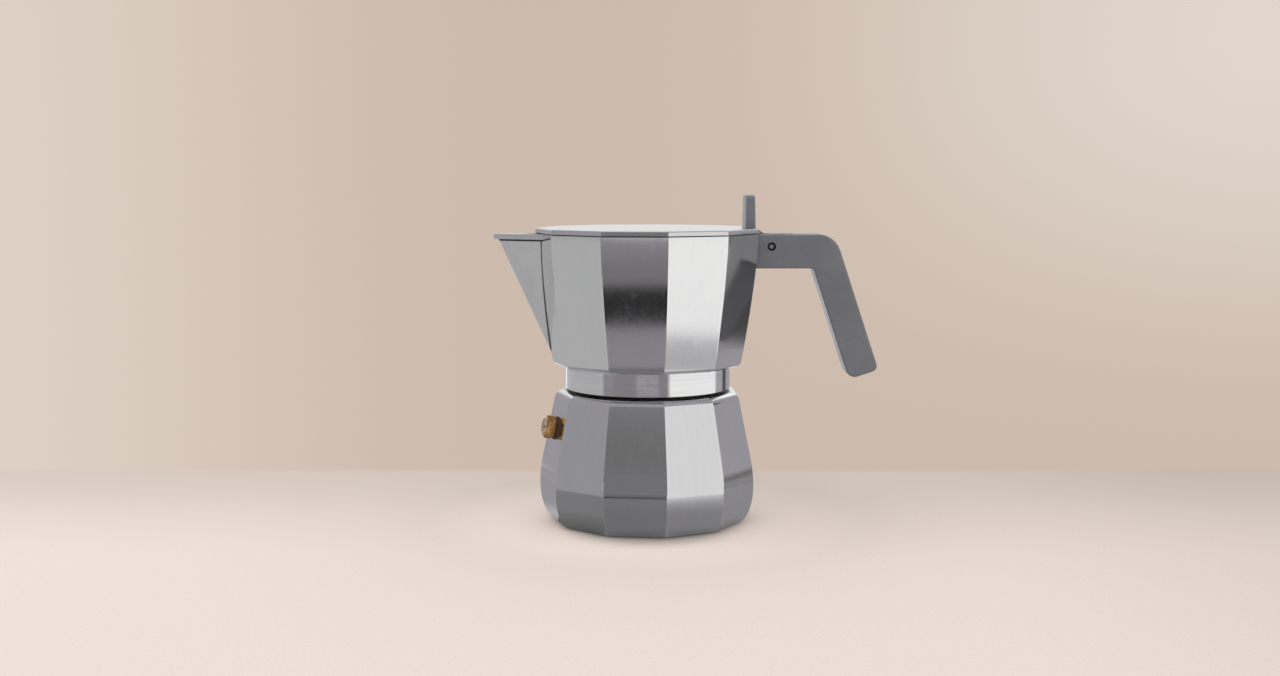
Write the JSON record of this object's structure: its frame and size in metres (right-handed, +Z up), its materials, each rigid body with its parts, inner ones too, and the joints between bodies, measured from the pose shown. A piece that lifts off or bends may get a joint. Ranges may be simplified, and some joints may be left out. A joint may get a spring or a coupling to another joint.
{
  "type": "moka pot",
  "caption": "Faceted cast aluminium stovetop coffee maker: boiler with safety valve, funnel, filter, screw-on collector with spout, hinged lid and plastic handle.",
  "frame": {"origin": "on the pot's axis, at the underside of the boiler's flat base", "axes": "+Z up along the pot's axis, +X towards the handle, -X towards the spout"},
  "size_m": [0.1696, 0.099, 0.1447],
  "materials": {
    "cast": "satin as cast, fine upright grain",
    "sheet": "bright rolled sheet",
    "brass": "turned brass, lightly tarnished",
    "steel": "plain stainless steel",
    "rubber": "off-white silicone rubber",
    "fibre": "dark brown fibre",
    "plastic": "grey heat-resistant plastic, satin"
  },
  "bodies": {
    "pot": {"boiler": "cast", "valve_body": "brass", "valve_washer": "fibre", "valve_spring": "steel", "valve_cap": "brass"},
    "valve_pin": {"valve_plunger": "brass", "valve_seal": "rubber"},
    "funnel": {"funnel": "sheet", "funnel_screen": "sheet"},
    "gasket": {"gasket": "rubber"},
    "filter": {"filter_plate": "sheet"},
    "collector": {"collector": "cast", "handle": "plastic", "handle_screw": "steel", "hinge_pin": "steel"},
    "lid": {"lid": "cast", "knob": "plastic", "knob_screws": "steel"}
  },
  "joints": [
    {"name": "valve_lift", "type": "slide", "parent": "pot", "child": "valve_pin", "axis": [-0.9415, -0.2764, 0.193], "range_m": [0, 0.0012], "stiffness_N_per_m": 1500, "springref_m": -0.001, "deforming": ["valve_spring"]},
    {"name": "funnel_lift", "type": "slide", "parent": "pot", "child": "funnel", "axis": [0, 0, 1], "range_m": [0, 0.065]},
    {"name": "collector_rise", "type": "slide", "parent": "funnel", "child": "gasket", "axis": [0, 0, 1], "range_m": [0, 0.0085]},
    {"name": "gasket_pull", "type": "slide", "parent": "gasket", "child": "filter", "axis": [0, 0, 1], "range_m": [0, 0.02]},
    {"name": "collector_turn", "type": "hinge", "parent": "filter", "child": "collector", "pos_m": [0, 0, 0.0645], "axis": [0, 0, 1], "range_deg": [0, 990]},
    {"name": "lid_hinge", "type": "hinge", "parent": "collector", "child": "lid", "pos_m": [0.05427, 0, 0.1222], "axis": [0, 1, 0], "range_deg": [0, 93]}
  ],
  "couplings": [
    {"joint": "collector_rise", "follows": "collector_turn", "m_per_rad": 0.00047746}
  ]
}
